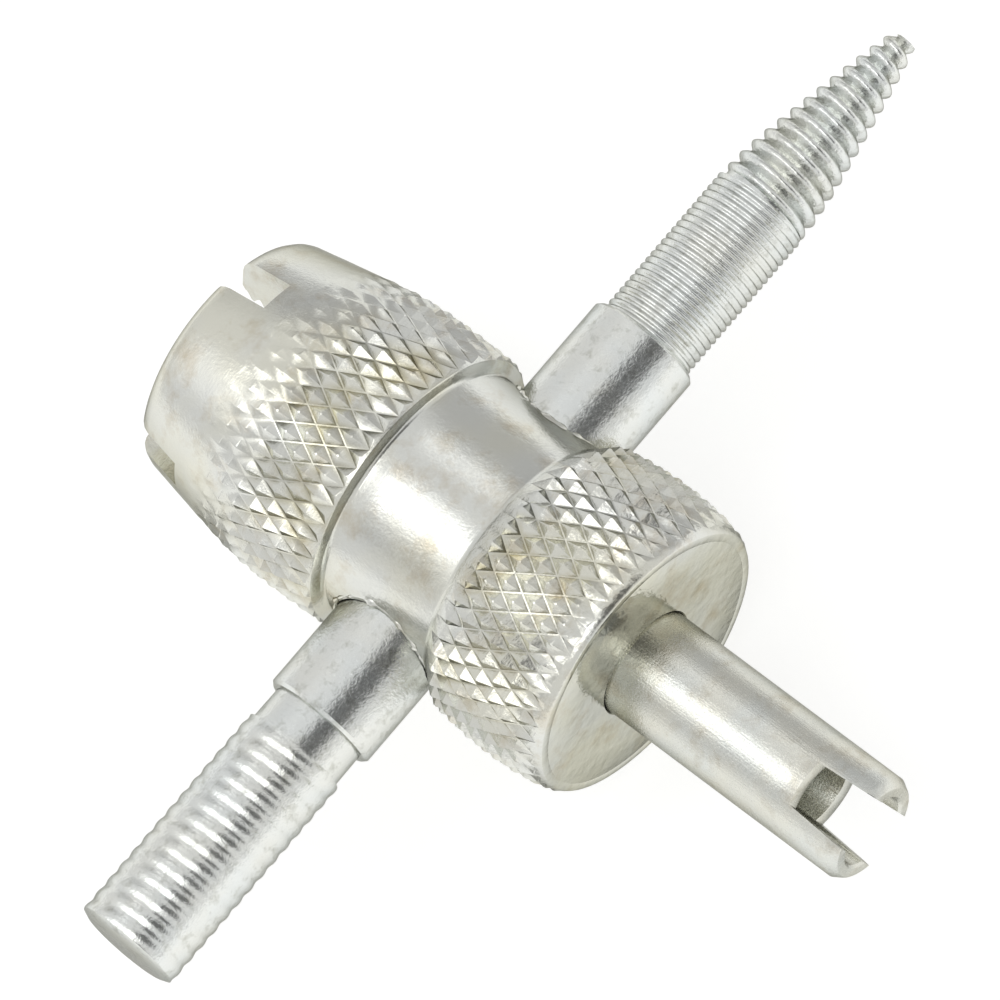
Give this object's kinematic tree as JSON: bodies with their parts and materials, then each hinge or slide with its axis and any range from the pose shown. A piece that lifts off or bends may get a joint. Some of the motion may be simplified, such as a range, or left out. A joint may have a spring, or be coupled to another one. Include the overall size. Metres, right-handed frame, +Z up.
{
  "type": "tyre valve stem repair tool",
  "caption": "Four-way tyre valve hand tool: knurled barrel with a thread die and a forked core wrench, crossed by a bar with a tap and a tapered stem extractor.",
  "frame": {"origin": "the point where the barrel's axis and the cross bar's axis meet, in the middle of the waist", "axes": "+Y along the barrel to the die, -Y along the core wrench, +X along the cross bar to the extractor, -X to the tap, +Z up, square to both"},
  "size_m": [0.0525, 0.0377, 0.0146],
  "materials": {
    "nickel_plated_barrel": "satin nickel plate over a turned and knurled steel body",
    "zinc_plated_wrench": "bright zinc plate, lightly brushed along its length",
    "zinc_plated_bar": "dull cool zinc plate over rolled and turned steel"
  },
  "bodies": {
    "root": {"barrel": "nickel_plated_barrel", "core_wrench": "zinc_plated_wrench", "cross_bar": "zinc_plated_bar"}
  },
  "joints": []
}
